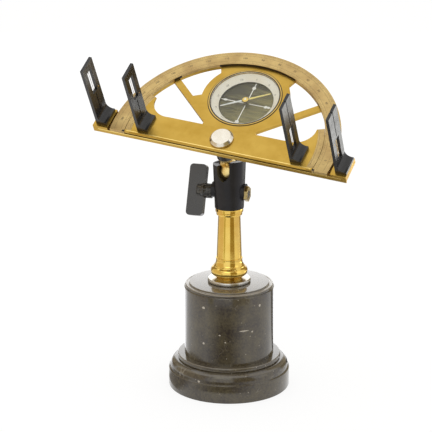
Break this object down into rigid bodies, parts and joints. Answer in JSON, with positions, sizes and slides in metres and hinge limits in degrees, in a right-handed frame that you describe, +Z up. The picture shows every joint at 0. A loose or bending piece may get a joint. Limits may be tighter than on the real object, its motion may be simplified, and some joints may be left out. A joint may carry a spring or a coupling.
{
  "type": "graphometer",
  "caption": "Brass half-circle surveying instrument with compass, turning alidade and upright slit sights, on a ball joint, turned column and round stone foot.",
  "frame": {"origin": "centre of the foot's underside", "axes": "+Z up, +X along the clamp screw towards its nut, -Y the way the socket mouth faces"},
  "size_m": [0.2315, 0.1426, 0.2912],
  "materials": {
    "stone": "polished dark marble",
    "felt": "felt",
    "steel": "satin",
    "brass": "satin lacquered",
    "pale_brass": "matte, graduated",
    "black": "black satin",
    "nickel": "polished nickel",
    "dial": "matt",
    "silver": "silvered",
    "glass": "clear"
  },
  "bodies": {
    "base": {"marble_plinth": "stone", "base_felt": "felt", "marble_drum": "stone", "spigot_flange": "steel", "tie_rod": "steel", "tie_washer": "steel", "tie_nut": "steel"},
    "column": {"column": "brass", "ball_socket": "black", "clamp_nut": "brass"},
    "clamp": {"wing_screw": "black"},
    "ball": {"ball_stem": "brass", "stem_screw": "steel"},
    "head": {"hub": "black", "hub_screws": "brass", "frame": "brass", "limb": "pale_brass", "limb_screws": "brass", "end_block_left": "brass", "end_block_right": "brass", "fixed_sight_left": "black", "fixed_sight_right": "black", "fixed_sight_screws": "brass", "fixed_sight_hairs": "steel", "fixed_hair_pegs": "brass", "compass_box": "brass", "compass_screws": "brass", "chapter_ring": "silver", "compass_dial": "dial", "needle_post": "steel", "compass_glass": "glass", "compass_bezel": "brass", "alidade_pivot": "steel", "pivot_washer": "brass", "pivot_cap": "nickel"},
    "needle": {"compass_needle": "steel", "needle_cap": "brass"},
    "alidade": {"alidade": "brass", "vernier_left": "pale_brass", "vernier_right": "pale_brass", "moving_sight_left": "black", "moving_sight_right": "black", "moving_sight_screws": "brass", "moving_sight_hairs": "steel", "moving_hair_pegs": "brass"}
  },
  "joints": [
    {"name": "column_swivel", "type": "hinge", "parent": "base", "child": "column", "pos_m": [0, 0, 0.094], "axis": [0, 0, 1], "continuous": true},
    {"name": "clamp_turn", "type": "hinge", "parent": "column", "child": "clamp", "pos_m": [0, 0, 0.1725], "axis": [1, 0, 0], "range_deg": [-180, 15]},
    {"name": "head_tilt", "type": "hinge", "parent": "column", "child": "ball", "pos_m": [0, 0, 0.192], "axis": [1, 0, 0], "range_deg": [-70, 45]},
    {"name": "head_spin", "type": "hinge", "parent": "ball", "child": "head", "pos_m": [0, 0, 0.192], "axis": [0, -0.5736, 0.8192], "continuous": true},
    {"name": "alidade_turn", "type": "hinge", "parent": "head", "child": "alidade", "pos_m": [0, -0.02214, 0.22362], "axis": [0, -0.5736, 0.8192], "continuous": true},
    {"name": "needle_turn", "type": "hinge", "parent": "head", "child": "needle", "pos_m": [0.0079, 0.02101, 0.24895], "axis": [0, -0.5736, 0.8192], "continuous": true}
  ]
}
